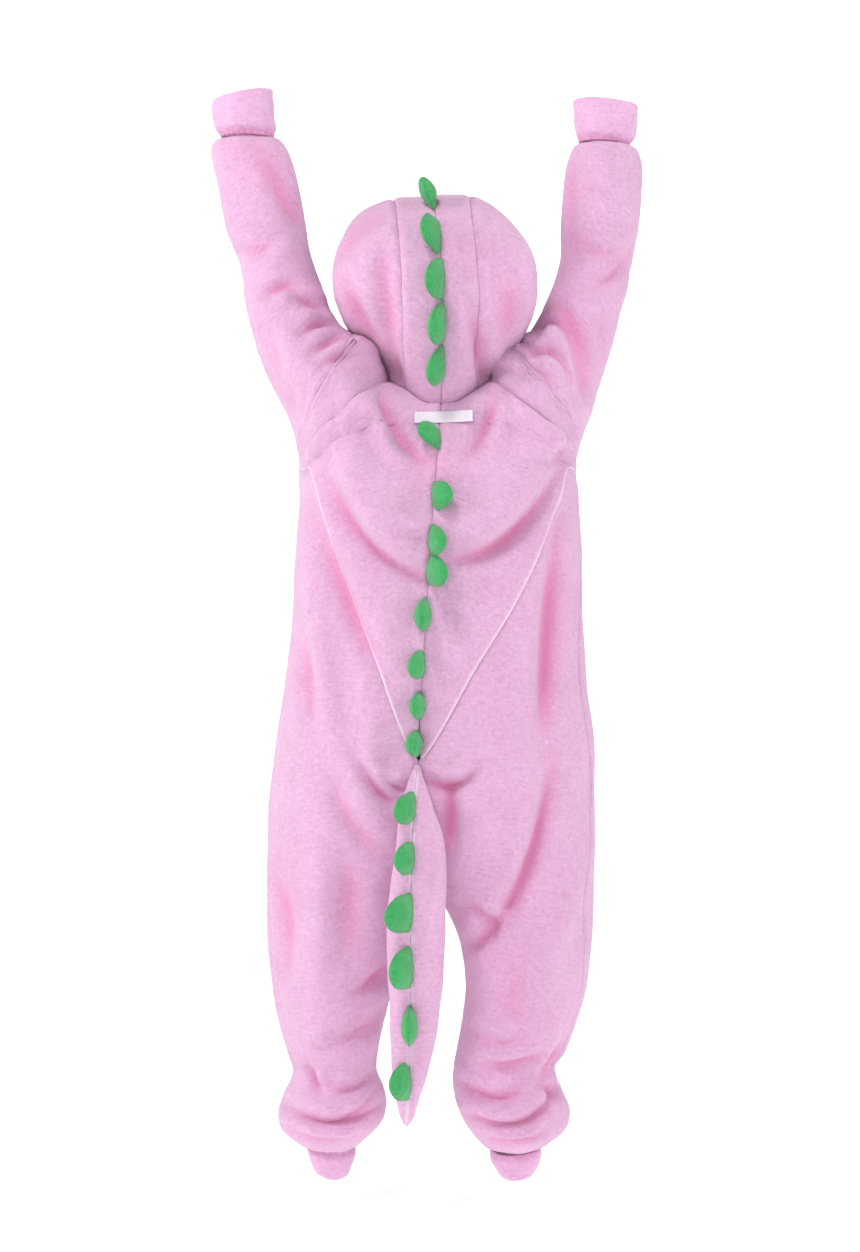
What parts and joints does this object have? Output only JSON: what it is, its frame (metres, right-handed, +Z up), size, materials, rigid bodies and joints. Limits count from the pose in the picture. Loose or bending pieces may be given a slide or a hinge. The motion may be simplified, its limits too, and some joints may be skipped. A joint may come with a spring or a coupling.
{
  "type": "child's dinosaur onesie",
  "caption": "Hooded fleece one-piece costume for a child, with a row of stuffed spikes down its hood, back and stuffed tail, held in the shape it has when worn with both arms raised.",
  "frame": {"origin": "the middle of the neck at the height of the back neck seam, where the wearer's shoulders carry it", "axes": "+Z up along the wearer's body, -Y to the garment's front, +Y to its spiked back, +X to the wearer's left"},
  "size_m": [0.5176, 0.2985, 1.3049],
  "materials": {
    "fleece_pink": "soft brushed fleece, matt",
    "fleece_green": "soft brushed fleece, matt",
    "label_white": "smooth woven ribbon, bare",
    "button": "plain moulded snap caps"
  },
  "bodies": {
    "root": {"hood_strip_left": "fleece_pink", "hood_strip_right": "fleece_pink", "hood_side_left": "fleece_pink", "hood_side_right": "fleece_pink", "yoke_left": "fleece_pink", "yoke_right": "fleece_pink", "back_left": "fleece_pink", "back_right": "fleece_pink", "front_left": "fleece_pink", "front_right": "fleece_pink", "sleeve_left": "fleece_pink", "sleeve_right": "fleece_pink", "wrist_cuff_left": "fleece_pink", "wrist_cuff_right": "fleece_pink", "ankle_cuff_left": "fleece_pink", "ankle_cuff_right": "fleece_pink", "tail_left": "fleece_pink", "tail_right": "fleece_pink", "button_placket": "fleece_pink", "spike_01": "fleece_green", "spike_02": "fleece_green", "spike_03": "fleece_green", "spike_04": "fleece_green", "spike_05": "fleece_green", "spike_06": "fleece_green", "spike_07": "fleece_green", "spike_08": "fleece_green", "spike_09": "fleece_green", "spike_10": "fleece_green", "spike_11": "fleece_green", "spike_12": "fleece_green", "spike_13": "fleece_green", "spike_14": "fleece_green", "spike_15": "fleece_green", "spike_16": "fleece_green", "spike_17": "fleece_green", "spike_18": "fleece_green", "spike_19": "fleece_green", "neck_label": "label_white", "button_1": "button", "button_2": "button", "button_3": "button", "button_4": "button", "button_5": "button"}
  },
  "joints": []
}
